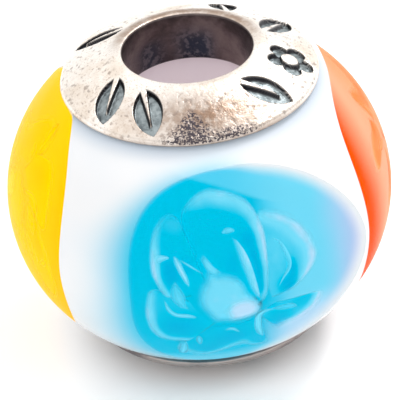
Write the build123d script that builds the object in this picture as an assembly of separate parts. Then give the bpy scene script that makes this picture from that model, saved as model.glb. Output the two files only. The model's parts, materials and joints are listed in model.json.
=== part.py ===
from build123d import *
from collections import namedtuple
from math import cos, hypot, radians, sin
import os

# A charm bead for a chain bracelet: a round body of white opal glass, four coloured glass medallions
# let into it flush, a glass flower under each, and a cast silver cap with a short sleeve on each end.
# Millimetres. +Z runs along the bore, the origin is the middle of the bore, and the front is -Y.

# Overall sizes
bead_diameter = 14.0
bead_height = 11.7
bore_diameter = 4.6

# Glass body: a belly arc and a shoulder arc, turned about the bore
belly_radius = 5.53
belly_angle = 42.3
cap_overhang = 0.16
end_edge_break = 0.05

# Clearances
glue_gap = 0.05
fused_gap = 0.03

# Silver cap: a domed washer with a sleeve that goes into the glass
flange_radius = 4.6
flange_edge = 0.25
dome_rise = 0.93
dome_bulge = 0.07
lip_width = 0.32
sleeve_wall = 0.4
sleeve_length = 1.9
bore_edge_radius = 0.12
lip_edge_radius = 0.08
flange_edge_radius = 0.09
sleeve_end_radius = 0.1

# Engraved ornament on the cap: slanting leaves with a raised vein that narrows to a point, and
# a blossom of round petals about a raised berry
engraving_depth = 0.2
engraving_radius = 3.62
leaf_length = 1.92
leaf_width = 1.02
leaf_slant = 32.0
vein_foot = 0.22
vein_share = 0.76
blossom_petals = 5
blossom_reach = 0.5
blossom_petal_radius = 0.32
berry_radius = 0.29
leaf_azimuths = (-121.0, -51.0, -25.0, 45.0, 117.0, 157.0)
blossom_azimuths = (78.0,)

# Medallions: plugs of coloured glass on the flat floors of their pockets
medallion_half_width = 4.5
medallion_half_height = 4.1
medallion_thickness = 2.2
white_bridge = 0.16

# The outline's reach to each side is a share of the half width or half height, and the thickness
# is a share too. The outline crosses its diagonals at its fullness: 0.71 is an ellipse, and more
# is squarer. Azimuths go from the front towards +X.
Medallion = namedtuple(
    "Medallion", "name azimuth left right up down full_left full_right thickness flower_turn")
medallions = (
    Medallion("blue", 14.0, 0.94, 1.00, 1.00, 1.00, 0.76, 0.68, 1.00, 0.0),
    Medallion("orange", 96.0, 1.00, 0.98, 1.05, 1.00, 0.76, 0.74, 1.06, 175.0),
    Medallion("lilac", 185.0, 0.97, 0.98, 1.02, 1.02, 0.73, 0.73, 1.00, 5.0),
    Medallion("yellow", 273.0, 0.98, 1.00, 1.14, 0.98, 0.75, 0.75, 1.24, 160.0),
)

# Flower: cupped petals round a boss, standing on the pocket's floor inside the medallion
flower_margin = 0.6
flower_cover = 1.3
petal_rim = 0.14
petal_web = 0.3
petal_heel = 0.42

# Directions in degrees from the right, and lengths as shares of the flower's radius. A petal
# narrows from its width at the tip to its heel, which is a share of that width.
Petal = namedtuple("Petal", "direction reach width rise")
petals = (
    Petal(95.0, 1.20, 0.82, 0.66),
    Petal(36.0, 1.02, 0.70, 0.60),
    Petal(-13.0, 0.88, 0.50, 0.54),
    Petal(-88.0, 0.62, 0.76, 0.50),
    Petal(197.0, 0.82, 0.64, 0.58),
    Petal(134.0, 1.05, 0.58, 0.62),
)
flower_offset = (-0.17, -0.26)
Boss = namedtuple("Boss", "right up length width rise")
bosses = (
    Boss(-0.07, 0.05, 0.60, 0.48, 0.42),
    Boss(0.04, -0.04, 0.32, 0.19, 0.56),
)

# Worked out from the sizes above
bead_radius = bead_diameter / 2
bore_radius = bore_diameter / 2
half_height = bead_height / 2
sleeve_radius = bore_radius + sleeve_wall
glass_bore_radius = sleeve_radius + glue_gap
flange_top = half_height - dome_rise
flange_bottom = flange_top - flange_edge
glass_end = flange_bottom - glue_gap
glass_end_radius = flange_radius - cap_overhang
lip_radius = bore_radius + lip_width
flower_radius = min(medallion_half_width, medallion_half_height) - flower_margin
flower_height = medallion_thickness - flower_cover


def mirrored(points):
    """Points of a section, turned over to the lower half and run the other way."""
    return [(x, -z) for x, z in reversed(points)]


def glass_blank():
    """The body before the medallions are let in."""
    centre = bead_radius - belly_radius
    turn = radians(belly_angle)
    joint = (centre + belly_radius * cos(turn), belly_radius * sin(turn))
    end = (glass_end_radius, glass_end - end_edge_break)
    belly = ThreePointArc((joint[0], -joint[1]), (bead_radius, 0), joint)
    upper = TangentArc(joint, end, tangent=(-sin(turn), cos(turn)))
    lower = TangentArc((joint[0], -joint[1]), (end[0], -end[1]), tangent=(-sin(turn), -cos(turn)))
    rim = [end, (glass_end_radius - end_edge_break, glass_end), (glass_bore_radius, glass_end)]
    profile = make_face([*belly.edges(), *upper.edges(), *lower.edges(),
                         *Polyline(*rim, *mirrored(rim)).edges()])
    return revolve(Plane.XZ * profile, Axis.Z)


def outline(shape, grow):
    """A medallion's closed outline, seen from outside, with its reach on each side grown."""
    left = medallion_half_width * shape.left + grow
    right = medallion_half_width * shape.right + grow
    up = medallion_half_height * shape.up + grow
    down = medallion_half_height * shape.down + grow

    def quarter(across, along, fullness):
        return Spline((across, 0), (across * fullness, along * fullness), (0, along),
                      tangents=((0, along), (-across, 0)))

    quarters = [quarter(right, up, shape.full_right), quarter(-left, up, shape.full_left),
                quarter(-left, -down, shape.full_left), quarter(right, -down, shape.full_right)]
    return make_face([edge for part in quarters for edge in part.edges()])


def plug(face, low, high):
    """A face drawn as seen from the front, as a solid between two distances from the bore's axis."""
    return extrude(Plane.XZ.offset(low) * face, high - low)


def sector(index, inset):
    """The part of the bead that one medallion may fill, set in from halfway to each neighbour."""
    here = medallions[index].azimuth
    before = medallions[index - 1].azimuth
    after = medallions[(index + 1) % len(medallions)].azimuth
    back = ((here - before) % 360) / 2
    ahead = ((after - here) % 360) / 2
    middle = (ahead - back) / 2

    def away(turn, distance):
        return distance * sin(radians(turn)), -distance * cos(radians(turn))

    corners = [away(turn, 2 * bead_radius) for turn in (-back, middle, ahead)]
    base = away(middle, inset / sin(radians((back + ahead) / 2)))
    wedge = extrude(make_face(Polyline((0, 0), *corners, close=True)), bead_height)
    return Pos(*base, -half_height) * wedge


def petal_face(petal, grow):
    """A petal's outline, from a narrow heel at the flower's middle to a round tip."""
    tip = flower_radius * petal.width / 2
    heel = tip * petal_heel + grow
    reach = flower_radius * petal.reach - tip
    rounds = [*Circle(heel).edges(), *(Pos(reach, 0) * Circle(tip + grow)).edges()]
    return Rot(0, 0, petal.direction) * make_hull(rounds)


def flower(grow):
    """The flower with its foot on the plane Y = 0, seen from the front. Grown, it is the room for it."""
    foot = fused_gap - grow
    pieces = []
    spread = Sketch()
    for petal in petals:
        outer = petal_face(petal, grow)
        rim = outer - petal_face(petal, -petal_rim - grow)
        pieces.append(plug(rim, foot, flower_height * petal.rise + grow))
        spread += outer
    pieces.append(plug(spread, foot, petal_web + grow))
    for boss in bosses:
        knob = SlotOverall(flower_radius * boss.length + 2 * grow, flower_radius * boss.width + 2 * grow)
        knob = Pos(flower_radius * boss.right, flower_radius * boss.up) * knob
        pieces.append(plug(knob, foot, flower_height * boss.rise + grow))
    right, up = (flower_radius * share for share in flower_offset)
    return Pos(right, 0, up) * (Part() + pieces)


def leaf():
    """A pointed leaf along X, about its middle, with a raised vein left in it."""
    tip = leaf_length / 2
    side = leaf_width / 2
    blade = make_face([*ThreePointArc((-tip, 0), (0, side), (tip, 0)).edges(),
                       *ThreePointArc((tip, 0), (0, -side), (-tip, 0)).edges()])
    vein_end = leaf_length * vein_share - tip
    vein = make_face(Polyline((-tip, -vein_foot / 2), (vein_end, 0), (-tip, vein_foot / 2), close=True))
    return blade - vein


def blossom():
    """Round petals, run together about a raised berry."""
    turns = [360 / blossom_petals * step for step in range(blossom_petals)]
    rounds = [Rot(0, 0, turn) * Pos(blossom_reach, 0) * Circle(blossom_petal_radius) for turn in turns]
    return Sketch() + rounds - Circle(berry_radius)


def ornament():
    """The engraving's outlines, laid out on the cap seen from above."""
    slanting = Rot(0, 0, leaf_slant) * leaf()
    marks = [(azimuth, slanting) for azimuth in leaf_azimuths]
    marks += [(azimuth, blossom()) for azimuth in blossom_azimuths]
    return [Rot(0, 0, azimuth - 90) * Pos(engraving_radius, 0) * mark for azimuth, mark in marks]


def dome_arc():
    """The cap's domed top in section, from the lip out to the flange's edge."""
    run = flange_radius - lip_radius
    slope = hypot(run, dome_rise)
    middle = ((lip_radius + flange_radius) / 2 + dome_bulge * dome_rise / slope,
              (half_height + flange_top) / 2 + dome_bulge * run / slope)
    return ThreePointArc((lip_radius, half_height), middle, (flange_radius, flange_top))


def rounded(face, corner, radius):
    """A section with the corner nearest a point rounded."""
    return fillet([face.vertices().sort_by_distance(corner)[0]], radius)


def cap_blank():
    """The cap before it is engraved: lip, dome, flange and sleeve, turned about the bore."""
    sleeve_end = half_height - sleeve_length
    path = [(flange_radius, flange_top), (flange_radius, flange_bottom), (sleeve_radius, flange_bottom),
            (sleeve_radius, sleeve_end), (bore_radius, sleeve_end), (bore_radius, half_height),
            (lip_radius, half_height)]
    section = make_face([*dome_arc().edges(), *Polyline(*path).edges()])
    section = rounded(section, (bore_radius, half_height), bore_edge_radius)
    section = rounded(section, (lip_radius, half_height), lip_edge_radius)
    section = rounded(section, (flange_radius, flange_top), flange_edge_radius)
    section = rounded(section, (flange_radius, flange_bottom), flange_edge_radius)
    section = rounded(section, (sleeve_radius, sleeve_end), sleeve_end_radius)
    return revolve(Plane.XZ * section, Axis.Z)


def engraving_floor():
    """All that lies below the engraving's flat bottom, which follows the dome."""
    path = [(flange_radius, flange_top), (flange_radius, 0), (0, 0), (0, half_height),
            (lip_radius, half_height)]
    under = make_face([*dome_arc().edges(), *Polyline(*path).edges()])
    return Pos(0, 0, -engraving_depth) * revolve(Plane.XZ * under, Axis.Z)


def cap():
    """The top cap: one casting, engraved round its dome."""
    cuts = [extrude(Pos(0, 0, glass_end) * mark, bead_height) for mark in ornament()]
    floor = engraving_floor()
    whole = cap_blank()
    for cut in cuts:
        whole -= cut - floor
    return whole


def write(shape, node):
    export_step(shape, f"parts/{node}.step")


os.makedirs("parts", exist_ok=True)

top = cap()
write(top, "cap_top")
write(Rot(180, 0, 0) * top, "cap_bottom")

blank = glass_blank()
body = blank
bloom = flower(0)
bloom_room = flower(fused_gap)
for index, shape in enumerate(medallions):
    floor = bead_radius - medallion_thickness * shape.thickness
    around = Rot(0, 0, shape.azimuth)
    seat = around * Pos(0, -floor, 0) * Rot(0, shape.flower_turn, 0)
    pocket = plug(outline(shape, fused_gap), floor, bead_diameter) & sector(index, white_bridge / 2)
    lens = plug(outline(shape, 0), floor + fused_gap, bead_diameter)
    lens &= sector(index, white_bridge / 2 + fused_gap)
    body = body - around * pocket
    write((blank & (around * lens)) - seat * bloom_room, f"medallion_{shape.name}")
    write(seat * bloom, f"flower_{shape.name}")
write(body, "glass_body")
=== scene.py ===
import json
import math

import bmesh
import bpy
import numpy as np
from mathutils import Matrix, Vector, noise


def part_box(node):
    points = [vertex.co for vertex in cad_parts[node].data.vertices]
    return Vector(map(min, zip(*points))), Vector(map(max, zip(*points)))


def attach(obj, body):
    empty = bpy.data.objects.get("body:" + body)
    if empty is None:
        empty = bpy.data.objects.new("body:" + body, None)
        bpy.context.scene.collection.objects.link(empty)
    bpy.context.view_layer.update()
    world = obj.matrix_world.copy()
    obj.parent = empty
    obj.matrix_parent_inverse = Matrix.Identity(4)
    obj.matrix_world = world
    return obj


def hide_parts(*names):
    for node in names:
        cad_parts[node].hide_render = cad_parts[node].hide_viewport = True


# A charm bead of white opal glass with four coloured flower medallions under clear glass, and two
# cast silver caps. Shapes are worked out in millimetres, in the frame's own axes, and turned into
# metres where a mesh is made. The front is -Y, and azimuths go from the front towards +X.

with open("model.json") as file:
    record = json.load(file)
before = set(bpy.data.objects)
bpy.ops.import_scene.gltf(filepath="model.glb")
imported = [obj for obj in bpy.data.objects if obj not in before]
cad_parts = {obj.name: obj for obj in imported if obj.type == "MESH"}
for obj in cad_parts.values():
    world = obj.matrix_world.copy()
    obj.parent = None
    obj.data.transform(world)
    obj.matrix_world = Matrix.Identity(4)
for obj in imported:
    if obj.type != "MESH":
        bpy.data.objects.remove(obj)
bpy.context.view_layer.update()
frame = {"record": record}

MM = 0.001
SHARP_ANGLE = math.radians(28)
WELD_METRES = 1e-8

# What stands for the inside distance of a place that is far off, and of one just past a medallion's cell
FAR_OUTSIDE = -9.0
JUST_OUTSIDE = -0.05


def node_box(name):
    """A frame node's lowest and highest corners, in millimetres."""
    low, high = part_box(name)
    return low / MM, high / MM


def mount_size(name, key):
    """A size that the record states for one of its mounts."""
    return next(m for m in frame["record"]["mounts"] if m["name"] == name)["dims"][key]


# Sizes taken from the frame
CAP_LOW, CAP_HIGH = node_box("cap_top")
LIP_HEIGHT = CAP_HIGH.z
FLANGE_RADIUS = CAP_HIGH.x
SLEEVE_END = CAP_LOW.z
GLASS_END = node_box("glass_body")[1].z
BORE_RADIUS = mount_size("bore", "r_mm")

# The glass body's section: a belly arc and a shoulder arc
BEAD_RADIUS = 7.0
BELLY_RADIUS = 5.53
BELLY_ANGLE = math.radians(42.3)
END_RADIUS = 4.44
END_BREAK = 0.05
GLASS_BORE_RADIUS = 2.75
GLASS_BORE_ROWS = 15

# The silver cap's section
LIP_RADIUS = 2.62
FLANGE_TOP = 4.92
FLANGE_BOTTOM = 4.67
DOME_BULGE = 0.07
SLEEVE_RADIUS = 2.7
BORE_EDGE = 0.12
LIP_EDGE = 0.1
FLANGE_ROUND = 0.09
SEAT_INSET = 0.3
SEAT_DROP = 0.1
FOOT_BREAK = 0.05
FOOT_RISE = 0.08

# Heights over which the cap has its dome's skin, and under which its bore's
DOME_FOOT = FLANGE_BOTTOM + 0.1
BORE_SKIN_TOP = FLANGE_BOTTOM - 0.3

# The cap's engraving
ENGRAVING_DEPTH = 0.2
ENGRAVING_RADIUS = 3.62
ENGRAVING_WALL = 0.05
LEAF_LENGTH = 1.92
LEAF_WIDTH = 1.02
LEAF_SLANT = math.radians(32.0)
VEIN_FOOT = 0.22
VEIN_SHARE = 0.76
BLOSSOM_PETALS = 5
BLOSSOM_REACH = 0.5
BLOSSOM_PETAL_RADIUS = 0.32
BERRY_RADIUS = 0.29
LEAF_AZIMUTHS = (-121.0, -51.0, -25.0, 45.0, 117.0, 157.0)
BLOSSOM_AZIMUTH = 78.0

# The cap's uneven skin: depths of its hollows, pits and grain, and how far its rim waves. The clouds are
# the sizes of its broad, grainy and fine noise, each with what it adds to the cap's seed.
HOLLOW_DEPTH = 0.016
PIT_DEPTH = 0.016
PIT_RANGE = (0.30, 0.62)
GRAIN_DEPTH = 0.006
ROUGH_DEPTH = 0.03
LIP_FADE = 0.4
RIM_WAVE = 0.012
RIM_SHRINK = 0.02
RIM_WAVE_START = 3.6
RIM_WAVE_LENGTH = 1.1
RIM_NOISE_RADIUS = 4
SKIN_CLOUDS = ((1.4, 0), (0.16, 5), (0.07, 9))
RIM_SEED = 3

# The camera's place and focal length, worked out from the photograph
CAMERA_DISTANCE = 90.0
CAMERA_ELEVATION = math.radians(34.8)
CAMERA_ROLL = math.radians(5.1)
FOCAL_PIXELS = 2464.5
IMAGE_PIXELS = 400
SENSOR = 36.0
BEAD_CENTRE_PIXEL = (199.2, 183.6)
CAMERA_BACK = np.array([0.0, -math.cos(CAMERA_ELEVATION), math.sin(CAMERA_ELEVATION)])

# Medallions: half sizes, each outline's reach to each side as a share of them, and how full its
# corners are on its left and its right. Deep is the share of a bowl's usual depth. Each flower is the
# blue medallion's, turned.
HALF_WIDTH = 4.5
HALF_HEIGHT = 4.1
COARSE_WOBBLE = 0.006
FINE_WOBBLE = 0.004
BOWL_DEPTH = 1.7
BOWL_STEEPNESS = 3.0
BOWL_ROUNDNESS = 0.85
LENS_SINK = 0.02
SINK_STEEPNESS = 8
GLASS_IOR = 1.47
MEDALLIONS = {
    "blue": dict(azimuth=14.0, left=0.94, right=1.00, up=1.00, down=1.00, full_left=0.76, full_right=0.68,
                 deep=1.0, flower_turn=0.0),
    "orange": dict(azimuth=96.0, left=1.00, right=0.98, up=1.05, down=1.00, full_left=0.76, full_right=0.74,
                   deep=1.0, flower_turn=math.radians(175)),
    "lilac": dict(azimuth=185.0, left=0.97, right=0.98, up=1.02, down=1.02, full_left=0.73, full_right=0.73,
                  deep=1.0, flower_turn=math.radians(5)),
    "yellow": dict(azimuth=273.0, left=0.98, right=1.00, up=1.14, down=0.98, full_left=0.75, full_right=0.75,
                   deep=1.3, flower_turn=math.radians(160)),
}


# Mesh making

def add_object(name, data):
    thing = bpy.data.objects.new(name, data)
    bpy.context.scene.collection.objects.link(thing)
    return thing


def new_piece(name, points, faces, material, node):
    """A mesh piece from points in millimetres, smooth shaded, riding on the bead in place of a CAD node."""
    mesh = bpy.data.meshes.new(name)
    mesh.from_pydata((np.asarray(points) * MM).tolist(), [], faces)
    mesh.polygons.foreach_set("use_smooth", [True] * len(mesh.polygons))
    mesh.update()
    mesh.materials.append(material)
    piece = add_object(name, mesh)
    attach(piece, "root")
    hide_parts(node)
    return piece


def grid_faces(rows, columns, closed_rows=False, closed_columns=True):
    """Quads of a grid whose points are numbered row by row."""
    faces = []
    for row in range(rows if closed_rows else rows - 1):
        here = row * columns
        after = (row + 1) % rows * columns
        for column in range(columns if closed_columns else columns - 1):
            beside = (column + 1) % columns
            faces.append((here + column, here + beside, after + beside, after + column))
    return faces


def disc_faces(rows, columns):
    """Faces of rings that close on one middle point, numbered last."""
    last, middle = (rows - 1) * columns, rows * columns
    return grid_faces(rows, columns) + [(last + c, last + (c + 1) % columns, middle) for c in range(columns)]


def joined(blocks):
    """Several blocks of points and faces as one."""
    faces, start = [], 0
    for points, block_faces in blocks:
        faces += [tuple(i + start for i in face) for face in block_faces]
        start += len(points)
    return np.vstack([points for points, _ in blocks]), faces


def weld(piece):
    """Joins points that lie in one place, turns all faces outwards and keeps corners crisp."""
    work = bmesh.new()
    work.from_mesh(piece.data)
    bmesh.ops.remove_doubles(work, verts=work.verts, dist=WELD_METRES)
    bmesh.ops.dissolve_degenerate(work, edges=work.edges, dist=WELD_METRES)
    bmesh.ops.recalc_face_normals(work, faces=work.faces)
    work.to_mesh(piece.data)
    work.free()
    piece.data.set_sharp_from_angle(angle=SHARP_ANGLE)
    piece.data.update()


def add_field(piece, name, values):
    """A number stored at each point of a piece, for its material to read."""
    stored = piece.data.attributes.new(name, "FLOAT", "POINT")
    stored.data.foreach_set("value", np.ravel(values).astype(np.float32))


def smooth_line(points, count):
    """Points along a smooth curve through a few given ones, evenly spaced by their chords."""
    points = np.asarray(points, float)
    padded = np.vstack([2 * points[0] - points[1], points, 2 * points[-1] - points[-2]])
    chords = np.concatenate([[0], np.cumsum(np.linalg.norm(np.diff(points, axis=0), axis=1))])
    result = []
    for along in np.linspace(0, chords[-1], count):
        span = min(int(np.searchsorted(chords, along, side="right")) - 1, len(points) - 2)
        u = (along - chords[span]) / (chords[span + 1] - chords[span])
        a, b, c, d = padded[span:span + 4]
        result.append(0.5 * (2 * b + (c - a) * u + (2 * a - 5 * b + 4 * c - d) * u * u
                             + (3 * b - a - 3 * c + d) * u ** 3))
    return np.array(result)


def smoothstep(low, high, value):
    share = np.clip((value - low) / (high - low), 0, 1)
    return share * share * (3 - 2 * share)


def hill(value, middle, width):
    """A soft hill, 1 at its middle and nearly 0 beyond twice its width."""
    return np.exp(-((value - middle) / width) ** 2)


def cloud(points, scale, seed):
    """Smooth noise between -1 and 1 at each point, with features of about one scale."""
    shift = Vector((seed * 3.7, seed * 1.3, seed * 2.9))
    return np.array([noise.noise(Vector(p) / scale + shift) for p in points])


# The glass body's outer surface

BELLY_CENTRE = BEAD_RADIUS - BELLY_RADIUS
JOINT_NORMAL = np.array([math.cos(BELLY_ANGLE), math.sin(BELLY_ANGLE)])
JOINT = np.array([BELLY_CENTRE, 0.0]) + BELLY_RADIUS * JOINT_NORMAL
SHOULDER_END = np.array([END_RADIUS, GLASS_END - END_BREAK])
SHOULDER_CHORD = JOINT - SHOULDER_END
SHOULDER_RADIUS = SHOULDER_CHORD @ SHOULDER_CHORD / (2 * SHOULDER_CHORD @ JOINT_NORMAL)
SHOULDER_CENTRE = JOINT - SHOULDER_RADIUS * JOINT_NORMAL


def body_radius(height, depth=0.0):
    """The body's radius at a height, on its outer surface or at a depth under it."""
    height = np.abs(np.asarray(height, float))
    belly = BELLY_CENTRE + np.sqrt(np.maximum((BELLY_RADIUS - depth) ** 2 - height ** 2, 0))
    rise = np.minimum(height, SHOULDER_END[1]) - SHOULDER_CENTRE[1]
    shoulder = SHOULDER_CENTRE[0] + np.sqrt(np.maximum((SHOULDER_RADIUS - depth) ** 2 - rise ** 2, 0))
    return np.where(height <= JOINT[1], belly, shoulder)


def body_normal(height):
    """The outer surface's normal at a height, as outward and upward parts."""
    height = np.asarray(height, float)
    size = np.abs(height)
    radius = body_radius(height)
    on_belly = size <= JOINT[1]
    outward = np.where(on_belly, radius - BELLY_CENTRE, radius - SHOULDER_CENTRE[0])
    upward = np.where(on_belly, size, size - SHOULDER_CENTRE[1]) * np.sign(height)
    length = np.hypot(outward, upward)
    return outward / length, upward / length


def front_distance(right, up, depth=0.0):
    """How far out from the bore's axis a medallion's point lies, at a depth under the outer surface."""
    return np.sqrt(np.maximum(body_radius(up, depth) ** 2 - np.asarray(right, float) ** 2, 0))


def ring_points(radii, turns, heights):
    """Points at a radius from the bore's axis, a turn from the front and a height, in one long row."""
    radii, turns, heights = np.broadcast_arrays(radii, turns, heights)
    return np.stack([radii * np.sin(turns), -radii * np.cos(turns), heights], axis=-1).reshape(-1, 3)


def placed(azimuth, right, up, out):
    """Points given beside, above and out along a medallion's own axes, in the frame's axes."""
    turn = math.radians(azimuth)
    right, up, out = np.broadcast_arrays(right, up, out)
    return np.stack([out * math.sin(turn) + right * math.cos(turn),
                     right * math.sin(turn) - out * math.cos(turn), up], axis=-1)


def right_of(azimuth, places):
    """How far places lie to the right of a medallion's middle."""
    turn = math.radians(azimuth)
    return places[..., 0] * math.cos(turn) + places[..., 1] * math.sin(turn)


# Medallion outlines and the grid that joins them

NAMES = list(MEDALLIONS)
SIDE_STEPS = 56
END_STEPS = 64
RINGS_IN = 34
RINGS_OUT = 14
CELL_GATHER = 1.5
RING_GATHER = 0.85
RING_SHARES = np.linspace(1, 0, RINGS_IN + 1)[:-1, None] ** RING_GATHER
TOP_CLEARANCE = 0.03
TOP_LIMIT = SHOULDER_END[1] - TOP_CLEARANCE


def cell(name):
    """How far the bead's surface belongs to a medallion, in degrees back and ahead of it."""
    index = NAMES.index(name)
    here = MEDALLIONS[name]["azimuth"]
    before = MEDALLIONS[NAMES[index - 1]]["azimuth"]
    after = MEDALLIONS[NAMES[(index + 1) % len(NAMES)]]["azimuth"]
    return ((here - before) % 360) / 2, ((after - here) % 360) / 2


def border(name):
    """The closed border of a medallion's cell, anticlockwise from the right: azimuth and height."""
    back, ahead = cell(name)
    top = SHOULDER_END[1]
    half = SIDE_STEPS // 2
    corners = [(ahead, 0, half), (ahead, top, END_STEPS), (-back, top, SIDE_STEPS),
               (-back, -top, END_STEPS), (ahead, -top, half), (ahead, 0, 0)]
    points = []
    for (x0, z0, steps), (x1, z1, _) in zip(corners, corners[1:]):
        for step in range(steps):
            share = step / steps
            points.append((x0 + (x1 - x0) * share, z0 + (z1 - z0) * share))
    return np.array(points)


def reach(name, right, up):
    """A medallion's half width, half height and fullness, on the side where each place lies."""
    shape = MEDALLIONS[name]
    width = HALF_WIDTH * np.where(right >= 0, shape["right"], shape["left"])
    height = HALF_HEIGHT * np.where(up >= 0, shape["up"], shape["down"])
    return width, height, np.where(right >= 0, shape["full_right"], shape["full_left"])


def outline(name):
    """A medallion's outline, one point for each of its border's: right and up."""
    edge = border(name)
    back, ahead = cell(name)
    side = np.where(edge[:, 0] >= 0, ahead, back)
    turn = np.arctan2(edge[:, 1] / SHOULDER_END[1], edge[:, 0] / side)
    across, along = np.cos(turn), np.sin(turn)
    width, height, fullness = reach(name, across, along)
    power = 2 * np.log(fullness) / math.log(0.5)
    phase = MEDALLIONS[name]["azimuth"]
    wobble = 1 + COARSE_WOBBLE * np.sin(3 * turn + phase) + FINE_WOBBLE * np.sin(5 * turn + 2 * phase)
    right = np.sign(across) * width * np.abs(across) ** power * wobble
    up = np.sign(along) * height * np.abs(along) ** power * wobble
    return right, np.clip(up, -TOP_LIMIT, TOP_LIMIT)


def outline_inside(name, right, up):
    """How far points lie inside a medallion's outline, in millimetres, measured towards its middle."""
    width, height, fullness = reach(name, right, up)
    power = math.log(0.5) / np.log(fullness)
    share = (np.abs(right / width) ** power + np.abs(up / height) ** power) ** (1 / power)
    return np.hypot(right, up) * (1 / np.maximum(share, 1e-6) - 1)


def flush_depth(name, share):
    """No depth anywhere, as on the outer surface itself."""
    return 0.0 * share


def bowl_depth(name, share):
    """A pocket's depth at a share of the way from its middle to its outline."""
    middle = BOWL_DEPTH * MEDALLIONS[name]["deep"]
    return middle * np.maximum(1 - share ** BOWL_STEEPNESS, 0) ** BOWL_ROUNDNESS


def lens_depth(name, share):
    """The depth of a lens's back, which is sunk a hair into its pocket."""
    return bowl_depth(name, share) + LENS_SINK * (1 - share ** SINK_STEEPNESS)


def medallion_rings(name, depth_at):
    """Rings from a medallion's outline inwards, with its middle last, at depths under the outer surface."""
    azimuth = MEDALLIONS[name]["azimuth"]
    right, up = outline(name)
    rights, ups = RING_SHARES * right, RING_SHARES * up
    rings = placed(azimuth, rights, ups, front_distance(rights, ups) - depth_at(name, RING_SHARES))
    middle = placed(azimuth, 0, 0, BEAD_RADIUS - depth_at(name, 0.0))
    return np.vstack([rings.reshape(-1, 3), middle])


def cell_rings(name):
    """Rings on the outer surface, from a medallion's outline to the border of its cell."""
    right, up = outline(name)
    edge = border(name)
    spread = np.linspace(0, 1, RINGS_OUT + 1)[:, None] ** CELL_GATHER
    turn = np.degrees(np.arctan2(right, front_distance(right, up)))
    turns = np.radians(MEDALLIONS[name]["azimuth"] + turn + (edge[:, 0] - turn) * spread)
    heights = up + (edge[:, 1] - up) * spread
    return ring_points(body_radius(heights), turns, heights)


def ends_and_bore():
    """The body's two end faces and the bore between them, as one block that meets the cells' borders."""
    turns = []
    for name in NAMES:
        back, ahead = cell(name)
        turns += list(MEDALLIONS[name]["azimuth"] - back + (back + ahead) * np.arange(END_STEPS) / END_STEPS)
    top = [(END_RADIUS, SHOULDER_END[1]), (END_RADIUS - END_BREAK, GLASS_END),
           (GLASS_BORE_RADIUS + END_BREAK, GLASS_END), (GLASS_BORE_RADIUS, GLASS_END - END_BREAK)]
    bore = [(GLASS_BORE_RADIUS, z) for z in np.linspace(SLEEVE_END, -SLEEVE_END, GLASS_BORE_ROWS)]
    section = np.array(top + bore + [(r, -z) for r, z in top[::-1]])
    block = ring_points(section[:, :1], np.radians(turns), section[:, 1:])
    return block, grid_faces(len(section), len(turns))


def add_stain_fields(piece):
    """How far the body's points lie inside each medallion's outline, and which of them line the bore, where a
    painted glow lights the glass.
    """
    places = np.array([v.co for v in piece.data.vertices]) / MM
    heights = places[:, 2]
    distances = np.hypot(places[:, 0], places[:, 1])
    azimuths = np.degrees(np.arctan2(places[:, 0], -places[:, 1]))
    outer = distances > END_RADIUS - 2 * END_BREAK
    for name in NAMES:
        azimuth = MEDALLIONS[name]["azimuth"]
        back, ahead = cell(name)
        away = (azimuths - azimuth + 180) % 360 - 180
        own = (away > -back) & (away < ahead)
        surface_right = body_radius(heights) * np.sin(np.radians(away))
        inside = outline_inside(name, np.where(own, right_of(azimuth, places), surface_right), heights)
        inside = np.where(own, inside, np.minimum(inside, JUST_OUTSIDE))
        add_field(piece, f"inside_{name}", np.where(outer & (np.abs(away) < 90), inside, FAR_OUTSIDE))
    add_field(piece, "bore", distances < GLASS_BORE_RADIUS + 2 * END_BREAK)


def make_glass_body(material):
    """The opal body: its outer surface, the four pockets, the end faces and the bore."""
    blocks = []
    for name in NAMES:
        columns = len(border(name))
        blocks.append((cell_rings(name), grid_faces(RINGS_OUT + 1, columns)))
        blocks.append((medallion_rings(name, bowl_depth), disc_faces(RINGS_IN, columns)))
    points, faces = joined(blocks + [ends_and_bore()])
    piece = new_piece("opal_body", points, faces, material, "glass_body")
    weld(piece)
    add_stain_fields(piece)


def make_lens(name, material):
    """The clear glass over a medallion, flush with the body in front."""
    front = disc_faces(RINGS_IN, len(border(name)))
    back = [face[::-1] for face in front]
    points, faces = joined([(medallion_rings(name, flush_depth), front),
                            (medallion_rings(name, lens_depth), back)])
    piece = new_piece(f"{name}_lens", points, faces, material, f"medallion_{name}")
    weld(piece)


# Flower

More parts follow.
